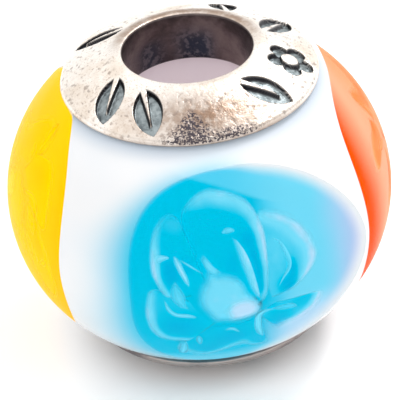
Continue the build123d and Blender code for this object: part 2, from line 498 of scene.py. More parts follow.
# The flower's lines as they show on the surface of the blue medallion: right and up of its middle.
# A rim's points also have the width of the pale band inside it and the band's strength. Soft is how
# far in the petal's thin edge stays see-through, and fill how pale the rest of the petal is.
PETALS = {
    "bottom": dict(depth=0.45, soft=0.5, fill=-0.1, heart=[(-2.0, -1.3), (-0.9, -1.4), (0.1, -1.2)], rim=[
        (-2.75, -2.2, 0.3, 0.6), (-2.7, -2.9, 0.5, 0.9), (-2.1, -3.3, 0.5, 0.8), (-1.6, -3.3, 0.5, 0.8),
        (-0.6, -2.85, 0.55, 0.8), (-0.1, -3.1, 0.5, 0.8), (0.3, -3.2, 0.4, 0.6), (0.62, -2.9, 0.3, 0.4)]),
    "low_right": dict(depth=0.45, soft=0.6, fill=0.1, heart=[(0.7, -0.72), (0.25, -0.92), (0.1, -1.3)], rim=[
        (2.3, -0.98, 0.4, 0.9), (2.55, -1.15, 0.5, 1.3), (2.55, -1.45, 0.6, 1.45), (2.3, -1.85, 0.6, 1.45),
        (1.7, -2.1, 0.5, 1.35), (1.3, -2.12, 0.45, 1.0), (0.95, -2.2, 0.3, 0.3), (0.75, -2.4, 0.3, 0.0)]),
    "low_left": dict(depth=0.4, soft=0.35, fill=0.05, heart=[(-2.4, 0.0), (-2.0, -0.7), (-1.5, -1.2)], rim=[
        (-3.3, 0.45, 0.2, 0.2), (-3.55, 0.37, 0.3, 0.45), (-3.7, 0.1, 0.4, 0.85), (-3.8, -0.65, 0.45, 1.05),
        (-3.7, -1.4, 0.45, 1.15), (-3.5, -1.85, 0.45, 1.1), (-3.2, -2.1, 0.42, 1.05), (-2.5, -2.2, 0.36, 0.9),
        (-2.35, -2.1, 0.2, 0.3)]),
    "left": dict(depth=0.4, soft=0.35, fill=-0.02, heart=[(-1.9, 1.6), (-1.9, 1.0), (-2.3, 0.1)], rim=[
        (-2.25, 2.5, 0.2, 0.0), (-2.28, 2.85, 0.2, 0.05), (-2.45, 3.0, 0.2, 0.12), (-2.72, 2.94, 0.2, 0.15),
        (-3.0, 2.7, 0.3, 0.35), (-3.2, 2.4, 0.4, 0.65), (-3.35, 2.0, 0.5, 0.95), (-3.46, 1.4, 0.55, 1.2),
        (-3.45, 0.9, 0.5, 1.25), (-3.26, 0.3, 0.42, 1.15), (-3.12, 0.07, 0.34, 1.05),
        (-2.95, -0.02, 0.18, 0.7)]),
    "right": dict(depth=0.35, soft=0.5, fill=0.3, heart=[(0.3, 0.9), (0.35, 0.2), (0.5, -0.5)], rim=[
        (0.35, 2.3, 0.4, 0.35), (0.36, 2.72, 0.5, 0.6), (0.62, 2.8, 0.7, 0.85), (1.2, 2.57, 0.85, 0.95),
        (1.8, 2.15, 0.9, 1.0), (2.25, 1.4, 0.85, 1.1), (2.42, 0.7, 0.85, 1.15), (2.2, 0.2, 0.75, 1.1),
        (1.75, -0.17, 0.45, 1.1), (1.3, -0.43, 0.35, 0.95), (1.05, -0.5, 0.3, 0.8)]),
    "top": dict(depth=0.3, soft=0.32, fill=-0.1, heart=[(-1.9, 0.9), (-1.0, 0.1), (0.05, -0.7)], rim=[
        (-2.2, 2.4, 0.3, 0.0), (-2.2, 2.9, 0.3, 0.0), (-1.95, 3.25, 0.4, 0.15), (-1.45, 3.55, 0.6, 0.75),
        (-0.9, 3.62, 0.7, 0.9), (-0.1, 3.33, 0.7, 1.0), (0.27, 2.92, 0.75, 1.0), (0.5, 2.2, 1.0, 1.3),
        (0.5, 1.4, 0.85, 1.25), (0.46, 0.6, 0.75, 1.1), (0.4, -0.1, 0.6, 1.0), (0.3, -0.55, 0.4, 0.6)]),
}
# Threads of pale glass over the petals: right, up and half width. Lean is where across a thread its
# palest line runs: 0 in the middle, where it isn't given, and 1 along the edge that is on the right as
# it goes down.
THREADS = {
    "fold": dict(depth=0.5, strength=1.1, lean=0.7, line=[
        (-0.68, 2.1, 0.05), (-0.56, 1.85, 0.13), (-0.42, 1.4, 0.18), (-0.28, 0.8, 0.18), (-0.12, 0.0, 0.14),
        (0.0, -0.35, 0.08)]),
    "tip": dict(depth=0.5, strength=0.6, line=[
        (-0.98, 2.32, 0.06), (-0.82, 2.37, 0.12), (-0.66, 2.37, 0.11), (-0.52, 2.33, 0.05)]),
    "arc": dict(depth=0.6, strength=0.7, lean=0.8, line=[
        (0.7, 1.78, 0.03), (0.93, 1.6, 0.07), (1.12, 1.15, 0.1), (1.2, 0.75, 0.1), (1.12, 0.5, 0.09),
        (0.95, 0.3, 0.06), (0.73, -0.05, 0.03)]),
    "ledge": dict(depth=0.45, strength=1.0, line=[
        (-3.25, 1.5, 0.2), (-3.05, 1.6, 0.14), (-2.8, 1.62, 0.05)]),
    "loop": dict(depth=0.55, strength=1.1, line=[
        (-2.66, 1.68, 0.08), (-2.58, 1.45, 0.14), (-2.5, 1.15, 0.13), (-2.4, 0.85, 0.12),
        (-2.32, 0.55, 0.06)]),
    "hair": dict(depth=0.55, strength=0.6, line=[
        (-2.5, 1.55, 0.03), (-2.3, 1.4, 0.05), (-2.05, 1.2, 0.045), (-1.8, 1.0, 0.03)]),
    "puff": dict(depth=0.6, strength=0.4, line=[
        (-2.75, 0.75, 0.1), (-2.75, 0.4, 0.24), (-2.7, 0.1, 0.3), (-2.6, -0.2, 0.2), (-2.4, -0.4, 0.08)]),
    "vein": dict(depth=0.55, strength=0.95, line=[
        (-3.15, -0.05, 0.06), (-3.03, -0.45, 0.09), (-2.8, -0.68, 0.1), (-2.4, -0.74, 0.12),
        (-2.13, -0.82, 0.08)]),
    "arch": dict(depth=0.6, strength=0.8, line=[
        (-1.22, -1.62, 0.03), (-1.0, -1.55, 0.08), (-0.85, -1.65, 0.07), (-0.68, -1.85, 0.03)]),
    "stalk": dict(depth=0.6, strength=0.85, line=[
        (0.55, -1.0, 0.06), (0.2, -1.0, 0.12), (-0.02, -1.2, 0.17), (-0.02, -1.7, 0.18), (0.08, -2.1, 0.17),
        (0.22, -2.45, 0.1)]),
    "rib": dict(depth=0.65, strength=0.35, line=[
        (0.5, -0.98, 0.08), (0.9, -1.08, 0.17), (1.2, -1.15, 0.17), (1.45, -1.3, 0.08)]),
    "strand": dict(depth=0.5, strength=0.65, line=[
        (-2.5, -2.1, 0.08), (-2.52, -2.5, 0.17), (-2.52, -2.9, 0.19), (-2.5, -3.15, 0.12)]),
    "wisp": dict(depth=0.55, strength=0.5, line=[
        (-2.1, -1.8, 0.08), (-2.05, -2.05, 0.14), (-2.0, -2.35, 0.07)]),
}
# Pale mounds at the flower's heart: the depths of their edge and top, the share of the way in that
# their edge takes to fade, strength at the edge and the top, and their outlines
MOUNDS = {
    "heart": dict(edge=0.85, top=0.62, soft=0.4, strength=(0.7, 0.95), outline=[
        (-1.72, 1.2), (-1.45, 1.08), (-1.0, 1.0), (-0.6, 0.75), (-0.4, 0.4), (-0.28, 0.05), (0.0, -0.3),
        (0.16, -0.75), (0.0, -1.17), (-0.6, -1.33), (-1.2, -1.25), (-1.6, -1.14), (-1.85, -0.75),
        (-2.08, -0.35), (-2.14, 0.05), (-2.02, 0.55), (-1.85, 0.8)]),
    "streak": dict(edge=0.7, top=0.6, soft=0.7, strength=(0.45, 0.8), outline=[
        (-1.88, 1.6), (-1.75, 1.74), (-1.6, 1.6), (-1.4, 1.25), (-1.15, 0.95), (-1.4, 0.8), (-1.7, 1.1)]),
    "bead": dict(edge=0.6, top=0.45, soft=0.65, strength=(0.95, 1.4), outline=[
        (-1.3, -0.66), (-1.05, -0.3), (-0.5, -0.15), (-0.05, -0.3), (0.17, -0.7), (0.03, -1.07),
        (-0.5, -1.22), (-1.05, -1.16)]),
}
# Deeper and paler patches in the petals: right, up, half width, half height and how much paler
PATCHES = [
    (-0.15, 2.05, 0.26, 0.24, -0.9), (0.0, 1.45, 0.2, 0.35, -0.9), (0.1, 0.85, 0.17, 0.35, -0.9),
    (0.12, 0.2, 0.15, 0.35, -0.8), (-0.75, 1.2, 0.25, 0.45, -0.45), (-2.25, 1.2, 0.2, 0.3, -0.6),
    (-2.85, 1.05, 0.3, 0.5, -1.1), (-2.7, -1.3, 0.65, 0.42, -0.9), (-0.9, -2.1, 0.55, 0.3, -0.6),
    (0.75, -1.75, 0.35, 0.4, -0.8),
    (1.12, -0.08, 0.3, 0.34, -1.3), (1.33, 0.5, 0.13, 0.34, -1.1), (-2.5, 2.75, 0.3, 0.25, 0.15),
    (1.65, -1.1, 0.28, 0.22, -0.35), (0.35, -0.8, 0.22, 0.16, -0.4), (-1.7, -2.7, 0.45, 0.25, -0.3),
    (0.0, -2.7, 0.4, 0.2, -0.3), (0.75, 1.3, 0.3, 0.5, 0.15),
]

# How petals, threads and mounds are meshed, and how they fade
PETAL_THICKNESS = 0.05
PETAL_COLUMNS = 72
PETAL_ROWS = 24
PETAL_GATHER = 1.3
PETAL_CUP = 0.6
SIDE_FADE_COLUMNS = 8
BAND_FADE = (0.3, 1.15)
FILL_RISE = 0.3
FILL_UNDER_BAND = 0.5
THREAD_STEPS = 32
THREAD_SIDES = 12
THREAD_FLATNESS = 0.15
THREAD_EDGE = (0.22, 0.95)
THREAD_TIP = 0.15
MOUND_STEPS = 64
MOUND_RINGS = 13
MOUND_STEEPNESS = 2.5
HEART_DEPTH = 0.9
PATCH_DEPTH = 0.7


def beneath(right, up, depth):
    """Where a point at a depth lies that shows at a place on the blue medallion's surface."""
    azimuth = MEDALLIONS["blue"]["azimuth"]
    right, up = np.asarray(right, float), np.asarray(up, float)
    surface = placed(azimuth, right, up, front_distance(right, up))
    sight = surface - CAMERA_BACK * CAMERA_DISTANCE
    sight /= np.linalg.norm(sight, axis=-1, keepdims=True)
    outward, upward = body_normal(up)
    radial = surface[..., :2] / np.hypot(surface[..., 0], surface[..., 1])[..., None]
    normal = np.concatenate([outward[..., None] * radial, upward[..., None]], axis=-1)
    facing = -np.sum(normal * sight, axis=-1, keepdims=True)
    inner = np.sqrt(1 - (1 - facing ** 2) / GLASS_IOR ** 2)
    bent = sight / GLASS_IOR + (facing / GLASS_IOR - inner) * normal
    point = surface + bent * (np.asarray(depth, float)[..., None] / inner)
    return right_of(azimuth, point), point[..., 2]


def turned(right, up, turn):
    """Points of the blue medallion's flower, turned clockwise for another medallion."""
    return right * math.cos(turn) + up * math.sin(turn), up * math.cos(turn) - right * math.sin(turn)


def patchiness(right, up):
    """How much paler the petals are at each point, from the listed patches."""
    total = np.zeros(np.shape(right))
    for patch_right, patch_up, half_wide, half_tall, amount in PATCHES:
        centre_right, centre_up = beneath(patch_right, patch_up, PATCH_DEPTH)
        total += amount * hill(right, centre_right, half_wide) * hill(up, centre_up, half_tall)
    return total


def point_rows(*values):
    """Values of a flower's part, each as one number for each of its points."""
    return [value.ravel() for value in np.broadcast_arrays(*values)]


def petal_sheet(shape):
    """A cupped petal, closed all round, from its rim down to the flower's heart."""
    rim = smooth_line(shape["rim"], PETAL_COLUMNS)
    heart = smooth_line(shape["heart"], PETAL_COLUMNS)
    rim_right, rim_up = beneath(rim[:, 0], rim[:, 1], shape["depth"])
    heart_right, heart_up = beneath(heart[:, 0], heart[:, 1], HEART_DEPTH)
    share = np.linspace(0, 1, PETAL_ROWS)[:, None] ** PETAL_GATHER
    right = rim_right + (heart_right - rim_right) * share
    up = rim_up + (heart_up - rim_up) * share
    depth = shape["depth"] + (HEART_DEPTH - shape["depth"]) * share ** PETAL_CUP
    gone = np.hypot(heart_right - rim_right, heart_up - rim_up) * share
    band = 1 - smoothstep(*BAND_FADE, gone / rim[:, 2])
    brighter = rim[:, 3] - shape["fill"] * FILL_UNDER_BAND
    pale = shape["fill"] * smoothstep(0, FILL_RISE, gone) + brighter * band + patchiness(right, up)
    columns = np.arange(PETAL_COLUMNS)
    beside = np.minimum(columns, columns[::-1]) / SIDE_FADE_COLUMNS
    solid = smoothstep(0, 1, gone / shape["soft"]) * smoothstep(0, 1, beside)

    size = PETAL_ROWS * PETAL_COLUMNS
    numbers = np.arange(size).reshape(PETAL_ROWS, PETAL_COLUMNS)
    front = grid_faces(PETAL_ROWS, PETAL_COLUMNS, closed_columns=False)
    loop = [*numbers[0], *numbers[1:, -1], *numbers[-1, -2::-1], *numbers[-2:0:-1, 0]]
    loop = [int(number) for number in loop]
    sides = [(a, a + size, b + size, b) for a, b in zip(loop, loop[1:] + loop[:1])]
    faces = front + [tuple(i + size for i in face[::-1]) for face in front] + sides
    right, up, depth, pale, solid = (np.tile(row, 2) for row in point_rows(right, up, depth, pale, solid))
    depth[size:] += PETAL_THICKNESS
    return right, up, depth, pale, solid, faces


def thread_tube(shape):
    """A flattened thread of glass, palest along one line and fading to its edges."""
    line = smooth_line(shape["line"], THREAD_STEPS)
    step = np.gradient(line[:, :2], axis=0)
    step /= np.linalg.norm(step, axis=1)[:, None]
    around = np.linspace(0, 2 * math.pi, THREAD_SIDES, endpoint=False)
    half_width = line[:, 2, None]
    across = np.cos(around) * half_width
    depth = shape["depth"] - THREAD_FLATNESS * half_width * np.sin(around)
    right, up = beneath(line[:, 0, None] - step[:, 1, None] * across,
                        line[:, 1, None] + step[:, 0, None] * across, depth)
    lean = shape.get("lean", 0.0)
    profile = np.clip(1 - np.abs(np.cos(around) - lean) / (1 + abs(lean)), 0, 1) ** 0.7
    ends = np.sin(np.linspace(THREAD_TIP, math.pi - THREAD_TIP, THREAD_STEPS))[:, None] ** 0.6
    pale = shape["strength"] * (0.4 + 0.6 * profile)
    solid = smoothstep(*THREAD_EDGE, profile * ends)
    last = (THREAD_STEPS - 1) * THREAD_SIDES
    caps = [tuple(range(THREAD_SIDES)), tuple(range(last + THREAD_SIDES - 1, last - 1, -1))]
    return *point_rows(right, up, depth, pale, solid), grid_faces(THREAD_STEPS, THREAD_SIDES) + caps


def mound_rings(shape):
    """A low rounded mound over an outline, with a flat foot."""
    edge = smooth_line(shape["outline"] + shape["outline"][:1], MOUND_STEPS + 1)[:-1]
    middle = edge.mean(axis=0)
    share = np.linspace(1, 0, MOUND_RINGS + 1)[:-1, None]
    depth = shape["top"] + (shape["edge"] - shape["top"]) * share ** MOUND_STEEPNESS
    right, up = beneath(middle[0] + (edge[:, 0] - middle[0]) * share,
                        middle[1] + (edge[:, 1] - middle[1]) * share, depth)
    low, high = shape["strength"]
    pale = low + (high - low) * (1 - share ** 2)
    solid = smoothstep(1, 1 - shape["soft"], share)
    top = (*beneath(*middle, shape["top"]), shape["top"], high, 1.0)
    rows = [np.append(row, at_top) for row, at_top in zip(point_rows(right, up, depth, pale, solid), top)]
    foot = tuple(range(MOUND_STEPS - 1, -1, -1))
    return *rows, disc_faces(MOUND_RINGS, MOUND_STEPS) + [foot]


def make_flower(name, material):
    """A flower's petals, threads and heart, as one piece of pale glass inside its medallion."""
    parts = [petal_sheet(shape) for shape in PETALS.values()]
    parts += [thread_tube(shape) for shape in THREADS.values()]
    parts += [mound_rings(shape) for shape in MOUNDS.values()]
    blocks = []
    for right, up, depth, _, _, faces in parts:
        right, up = turned(right, up, MEDALLIONS[name]["flower_turn"])
        out = front_distance(right, up, depth)
        blocks.append((placed(MEDALLIONS[name]["azimuth"], right, up, out), faces))
    points, faces = joined(blocks)
    piece = new_piece(f"{name}_petals", points, faces, material, f"flower_{name}")
    add_field(piece, "paleness", np.concatenate([pale for _, _, _, pale, _, _ in parts]))
    add_field(piece, "solidness", np.concatenate([solid for _, _, _, _, solid, _ in parts]))
    weld(piece)


# Silver caps

CAP_STEPS = 720
DOME_STEPS = 76
BORE_STEPS = 12
LIP_STEPS = 7


def dome_section():
    """The dome's arc from the lip to the flange's edge."""
    start = np.array([LIP_RADIUS, LIP_HEIGHT])
    run = np.array([FLANGE_RADIUS, FLANGE_TOP]) - start
    up = np.array([-run[1], run[0]]) / np.linalg.norm(run)
    share = np.linspace(0, 1, DOME_STEPS)[:, None]
    return start + run * share + up * DOME_BULGE * 4 * share * (1 - share)


def rounded_corner(start, corner, end, shares):
    """Points of a curve that leaves one place towards a corner and reaches another from it."""
    start, corner, end = (np.array(place) for place in (start, corner, end))
    return [(1 - u) ** 2 * start + 2 * u * (1 - u) * corner + u * u * end for u in shares]


def cap_section():
    """The cap's closed section: up its bore, over the lip, the dome and the flange, and down its sleeve."""
    wall_end = SLEEVE_END + FOOT_RISE
    bore = [(BORE_RADIUS, z) for z in np.linspace(wall_end, LIP_HEIGHT - BORE_EDGE, BORE_STEPS)]
    lip = [(BORE_RADIUS + BORE_EDGE * (1 - math.cos(turn)), LIP_HEIGHT - BORE_EDGE * (1 - math.sin(turn)))
           for turn in np.linspace(0, math.pi / 2, LIP_STEPS)[1:]]
    land = [(r, LIP_HEIGHT) for r in np.linspace(BORE_RADIUS + BORE_EDGE, LIP_RADIUS - LIP_EDGE, 5)[1:]]
    dome = dome_section()
    dome = dome[(dome[:, 0] > LIP_RADIUS + LIP_EDGE) & (dome[:, 0] < FLANGE_RADIUS - 0.7 * FLANGE_ROUND)]
    lip_corner = rounded_corner(land[-1], (LIP_RADIUS, LIP_HEIGHT), dome[0], np.linspace(0, 1, 6)[1:-1])
    rim = rounded_corner(dome[-1], (FLANGE_RADIUS, FLANGE_TOP), (FLANGE_RADIUS, FLANGE_TOP - FLANGE_ROUND),
                         np.linspace(0, 1, 7)[1:])
    rim += rounded_corner((FLANGE_RADIUS, FLANGE_BOTTOM + FLANGE_ROUND), (FLANGE_RADIUS, FLANGE_BOTTOM),
                          (FLANGE_RADIUS - FLANGE_ROUND, FLANGE_BOTTOM), np.linspace(0, 1, 6))
    seat = [(r, FLANGE_BOTTOM) for r in np.linspace(FLANGE_RADIUS - SEAT_INSET, SLEEVE_RADIUS, 5)]
    sleeve = [(SLEEVE_RADIUS, z) for z in np.linspace(FLANGE_BOTTOM - SEAT_DROP, wall_end, 4)]
    foot = [(SLEEVE_RADIUS - FOOT_BREAK, SLEEVE_END), (BORE_RADIUS + FOOT_BREAK, SLEEVE_END)]
    return np.array([*bore, *lip, *land, *lip_corner, *dome, *rim, *seat, *sleeve, *foot])


def turned_to(x, y, azimuth):
    """Places seen from above, in the axes of a mark on the cap: out from it, and across."""
    turn = math.radians(azimuth - 90)
    out = x * math.cos(turn) + y * math.sin(turn) - ENGRAVING_RADIUS
    return out, y * math.cos(turn) - x * math.sin(turn)


def leaf_inside(out, side):
    """How far places lie inside a slanting leaf with a raised vein that narrows to a point."""
    tip, half = LEAF_LENGTH / 2, LEAF_WIDTH / 2
    bow = (tip ** 2 + half ** 2) / (2 * half)
    along = out * math.cos(LEAF_SLANT) + side * math.sin(LEAF_SLANT)
    across = np.abs(side * math.cos(LEAF_SLANT) - out * math.sin(LEAF_SLANT))
    blade = bow - np.hypot(along, across + bow - half)
    narrowing = 1 - (along + tip) / (VEIN_SHARE * LEAF_LENGTH)
    beside = np.where(narrowing > 0, across - VEIN_FOOT / 2 * narrowing, -FAR_OUTSIDE)
    return np.minimum(blade, beside)


def blossom_inside(out, side):
    """How far places lie inside round petals that run together about a raised berry."""
    best = np.full(out.shape, FAR_OUTSIDE)
    for petal in range(BLOSSOM_PETALS):
        turn = 2 * math.pi * petal / BLOSSOM_PETALS
        gap = np.hypot(out - BLOSSOM_REACH * math.cos(turn), side - BLOSSOM_REACH * math.sin(turn))
        best = np.maximum(best, BLOSSOM_PETAL_RADIUS - gap)
    return np.minimum(best, np.hypot(out, side) - BERRY_RADIUS)


def engraving(x, y):
    """How far places on the cap, seen from above, lie inside the engraved marks."""
    best = blossom_inside(*turned_to(x, y, BLOSSOM_AZIMUTH))
    for azimuth in LEAF_AZIMUTHS:
        best = np.maximum(best, leaf_inside(*turned_to(x, y, azimuth)))
    return best


# Where the casting is rough, brown and tarnished, and where its dome's front is darkened as painted shade:
# azimuths in degrees, radii and heights in millimetres

def cast_rough(azimuth, radius):
    """How rough and dark the casting is left: a peak and a band along the flange at the front."""
    peak_width = np.maximum(4 + 10 * (radius - 3.8), 2.5)
    peak = smoothstep(3.3, 3.9, radius) * hill(azimuth, -1, peak_width)
    band = smoothstep(4.15, 4.6, radius) * smoothstep(-16, -8, azimuth) * smoothstep(38, 16, azimuth)
    return np.maximum(peak, 0.8 * band)


def brown_and_front_shade(azimuth, radius):
    """How brown the silver's skin is: over the dome at the front, where the brown is partly tarnish and
    partly painted shade over the bright front, and round the lip at the back.
    """
    front = hill(azimuth, 9, 45) * hill(radius, 3.8, 1.1)
    lip = hill(radius, 2.5, 0.26) * smoothstep(70, 130, np.abs(azimuth))
    return np.maximum(front, 0.9 * lip)


def bore_tarnish(azimuth, height):
    """How blue-black the bore is: two patches opposite the front."""
    around = azimuth % 360
    large = smoothstep(146, 164, around) * smoothstep(202, 178, around) * smoothstep(5.6, 4.7, height)
    small = hill(around, 216, 16) * smoothstep(5.3, 4.7, height)
    return np.maximum(large, 0.9 * small)


def make_cap(name, material, seed, flip):
    """A cast cap with worn, uneven skin and its engraving cut into the dome."""
    section = cap_section()
    angles = np.linspace(0, 2 * math.pi, CAP_STEPS, endpoint=False)
    radius, height = (column[:, None] * np.ones(CAP_STEPS) for column in section.T)
    x, y = radius * np.cos(angles), radius * np.sin(angles)
    azimuth = np.degrees(np.arctan2(x, -y))
    inside = engraving(x, y)
    on_dome = (radius > LIP_RADIUS) & (height > DOME_FOOT)
    cut = smoothstep(0, ENGRAVING_WALL, inside) * on_dome
    # A band along the engraving's walls, painted as their shadow
    wall_shadow = np.clip(1 - np.abs(inside - 0.5 * ENGRAVING_WALL) / (1.3 * ENGRAVING_WALL), 0, 1) * on_dome

    flat = np.stack([x, y, height], axis=-1).reshape(-1, 3)
    broad, grain, fine = (cloud(flat, scale, seed + shift).reshape(x.shape) for scale, shift in SKIN_CLOUDS)
    ring = RIM_NOISE_RADIUS * np.stack([np.cos(angles), np.sin(angles), 0 * angles], axis=-1)
    wave = cloud(ring, RIM_WAVE_LENGTH, seed + RIM_SEED)
    fade = smoothstep(LIP_RADIUS, LIP_RADIUS + LIP_FADE, radius) * on_dome
    rough = cast_rough(azimuth, radius) * fade
    pits = smoothstep(*PIT_RANGE, grain + 0.35 * fine + 0.45 * rough)
    outer = smoothstep(RIM_WAVE_START, FLANGE_RADIUS, radius) * (height > 0)
    hollows = HOLLOW_DEPTH * (1 - broad) + PIT_DEPTH * pits * (1 - cut)
    drop = ENGRAVING_DEPTH * cut * (1 + 0.12 * grain) + fade * hollows
    drop = drop + (GRAIN_DEPTH + ROUGH_DEPTH * rough) * np.abs(fine) * fade
    height = height - drop + np.minimum(RIM_WAVE * wave * outer, 0)
    shrink = RIM_SHRINK * (1 + wave) * outer * on_dome / radius
    points = np.stack([x * (1 - shrink), y * (1 - shrink), height], axis=-1).reshape(-1, 3)
    if flip:
        points = points * np.array([1, -1, -1])

    faces = grid_faces(len(section), CAP_STEPS, closed_rows=True)
    piece = new_piece(name, points, faces, material, name.replace("silver_", ""))
    in_bore = (radius < BORE_RADIUS + 0.5 * BORE_EDGE) | (height < BORE_SKIN_TOP)
    # Painted shade under the flange and along its lower edge, carried in the pits field along with the real
    # pits
    flange_underside_shade = smoothstep(FLANGE_BOTTOM + 0.16, FLANGE_BOTTOM + 0.04, height)
    pits = np.maximum(pits * fade, flange_underside_shade * (radius > SLEEVE_RADIUS + 0.1))
    # The bottom cap is flagged for painted shade all over its skin.
    fields = dict(engraved=cut, wall_shadow=wall_shadow, bore=in_bore, pits=pits, rough=rough, bottom_cap_shade=np.full(x.shape, flip),
                  brown_and_front_shade=brown_and_front_shade(azimuth, radius), tarnish=bore_tarnish(azimuth, height))
    for key, values in fields.items():
        add_field(piece, key, values)


# Materials

def feed(tree, node, inputs):
    """Gives a node its inputs, each a number, a colour or the output of another node."""
    for key, value in inputs.items():
        if isinstance(value, bpy.types.NodeSocket):
            tree.links.new(value, node.inputs[key])
        else:
            node.inputs[key].default_value = (*value, 1.0) if isinstance(value, tuple) else value


def add_node(tree, kind, inputs, **settings):
    """The outputs of a new node that has been given its settings and inputs."""
    node = tree.nodes.new(kind)
    for key, value in settings.items():
        setattr(node, key, value)
    feed(tree, node, inputs)
    return node.outputs


def shader(name, finish):
    """A new material whose plain Principled shader has a finish of plain numbers and colours."""
    material = bpy.data.materials.new(name)
    material.use_nodes = True
    tree = material.node_tree
    principled = tree.nodes["Principled BSDF"]
    feed(tree, principled, finish)
    return material, tree, principled


def field(tree, name):
    """A number stored on the piece's mesh."""
    return add_node(tree, "ShaderNodeAttribute", {}, attribute_name=name)["Fac"]


def object_place(tree):
    return add_node(tree, "ShaderNodeTexCoord", {})["Object"]


def coordinates(tree, place):
    """A place's X, Y and Z."""
    return add_node(tree, "ShaderNodeSeparateXYZ", {0: place})


def maths(tree, operation, *values, clamp=False):
    settings = dict(operation=operation, use_clamp=clamp)
    return add_node(tree, "ShaderNodeMath", dict(enumerate(values)), **settings)[0]


def times(tree, first, *others):
    """The product of two or more numbers."""
    for other in others:
        first = maths(tree, "MULTIPLY", first, other)
    return first


def plus(tree, first, second, clamp=False):
    return maths(tree, "ADD", first, second, clamp=clamp)


def minus(tree, first, second, clamp=False):
    return maths(tree, "SUBTRACT", first, second, clamp=clamp)


def ramp(tree, value, low, high, start=0.0, end=1.0, smooth=True):
    """A number that goes from start to end as a value goes from low to high."""
    inputs = {"Value": value, "From Min": low, "From Max": high, "To Min": start, "To Max": end}
    kind = "SMOOTHSTEP" if smooth else "LINEAR"
    return add_node(tree, "ShaderNodeMapRange", inputs, interpolation_type=kind)["Result"]


def blend(tree, share, first, second):
    """A mix of two colours."""
    return add_node(tree, "ShaderNodeMix", {0: share, 6: first, 7: second}, data_type="RGBA")[2]


def tones(tree, value, low, high, first, second):
    """A colour that goes from one to another as a value goes from low to high."""
    return blend(tree, ramp(tree, value, low, high), first, second)


def noise_at(tree, place, scale, detail=2.0, rough=0.5):
    """Smooth noise between 0 and 1."""
    inputs = {"Vector": place, "Scale": scale, "Detail": detail, "Roughness": rough}
    return add_node(tree, "ShaderNodeTexNoise", inputs)["Fac"]


def relief(tree, height, strength, distance):
    """A normal tilted by a height, as deep as a distance in metres."""
    inputs = {"Height": height, "Strength": strength, "Distance": distance}
    return add_node(tree, "ShaderNodeBump", inputs)["Normal"]


def new_group(name, inputs, outputs):
    """A shared effect: a node group with named inputs and outputs, each a Float or a Color."""
    group = bpy.data.node_groups.new(name, "ShaderNodeTree")
    for direction, sockets in (("INPUT", inputs), ("OUTPUT", outputs)):
        for key, kind in sockets.items():
            group.interface.new_socket(key, in_out=direction, socket_type=f"NodeSocket{kind}")
    return group, group.nodes.new("NodeGroupInput").outputs, group.nodes.new("NodeGroupOutput")


def place_group(tree, group, inputs):
    """A shared effect's outputs, in a material that gives it its inputs."""
    return add_node(tree, "ShaderNodeGroup", inputs, node_tree=group)


def make_flame_polish_group():
    """The gentle waviness of glass that was smoothed in a flame."""
    inputs = {"scale": "Float", "fine_share": "Float"}
    group, given, result = new_group("flame_polish", inputs, {"height": "Float"})
    place = object_place(group)
    broad = noise_at(group, place, given["scale"], 1.0)
    fine = noise_at(group, place, times(group, given["scale"], 6.0), 1.0)
    feed(group, result, {"height": plus(group, broad, times(group, fine, given["fine_share"]))})
    return group


# Colours of each medallion's bed and of its petals, and where across it, in millimetres right of its
# middle, the bed turns from deep to light. Soft is how far in its colour takes to come up from the
# white on its right side, halo how far it has bled into the white glass on its left side, and glow how
# strong it is there.
GLASS = {
    "blue": dict(deep=(0.0, 0.45, 0.65), light=(0.07, 0.51, 0.71), far=(0.41, 0.47, 0.69),
                 deeper=(0.0, 0.37, 0.61), inner=(0.0, 0.45, 0.65), pale=(0.14, 0.57, 0.74),
                 palest=(0.39, 0.59, 0.75), light_from=0.4, light_to=1.6, soft=0.75, halo=2.5, glow=1.0),
    "orange": dict(deep=(1.0, 0.07, 0.0), light=(1.0, 0.38, 0.23), far=(1.0, 0.38, 0.23),
                   deeper=(1.0, 0.15, 0.01), inner=(1.0, 0.22, 0.06), pale=(1.0, 0.28, 0.10),
                   palest=(1.0, 0.35, 0.19), light_from=-3.0, light_to=-0.5, soft=0.0, halo=0.5, glow=0.25),
    "lilac": dict(deep=(0.44, 0.19, 0.64), light=(0.54, 0.32, 0.72), far=(0.66, 0.46, 0.78),
                  deeper=(0.36, 0.14, 0.58), inner=(0.44, 0.19, 0.64), pale=(0.58, 0.37, 0.75),
                  palest=(0.68, 0.52, 0.80), light_from=0.4, light_to=1.6, soft=0.5, halo=1.5, glow=0.9),
    "yellow": dict(deep=(1.0, 0.51, 0.0), light=(1.0, 0.57, 0.01), far=(1.0, 0.53, 0.0),
                   deeper=(1.0, 0.52, 0.0), inner=(1.0, 0.56, 0.0), pale=(1.0, 0.58, 0.0),
                   palest=(1.0, 0.62, 0.01), light_from=3.2, light_to=0.4, soft=0.0, halo=0.4, glow=0.25),
}
STAIN_NUMBERS = ("soft", "halo", "glow", "light_from", "light_to")
STAIN_COLOURS = ("deep", "light", "far", "pale", "palest")

# Where a bed's colour turns, in millimetres right of its middle, above it or towards its upper right
DRIFT = 0.7
UPPER_RIGHT = (0.53, 0.85)
LIGHT_SHOULDER = (2.3, 2.5)
PALE_ACROSS = (-0.8, 1.9)
FAR_ACROSS = (2.3, 4.3)
FOOT_ACROSS = (0.0, 1.6)
FOOT_DOWN = (-1.2, -2.4)
EDGE_DOWN = (-3.0, -3.6)
EDGE_STRENGTH = 0.85

# How far inside its outline a bed is filled in full, so that its halo starts there, how the halo
# fades, and where from left to right it gives way to the soft edge
HALO_START = 0.3
HALO_POWER = 2.15
SOFT_ACROSS = (-1.2, 1.0)


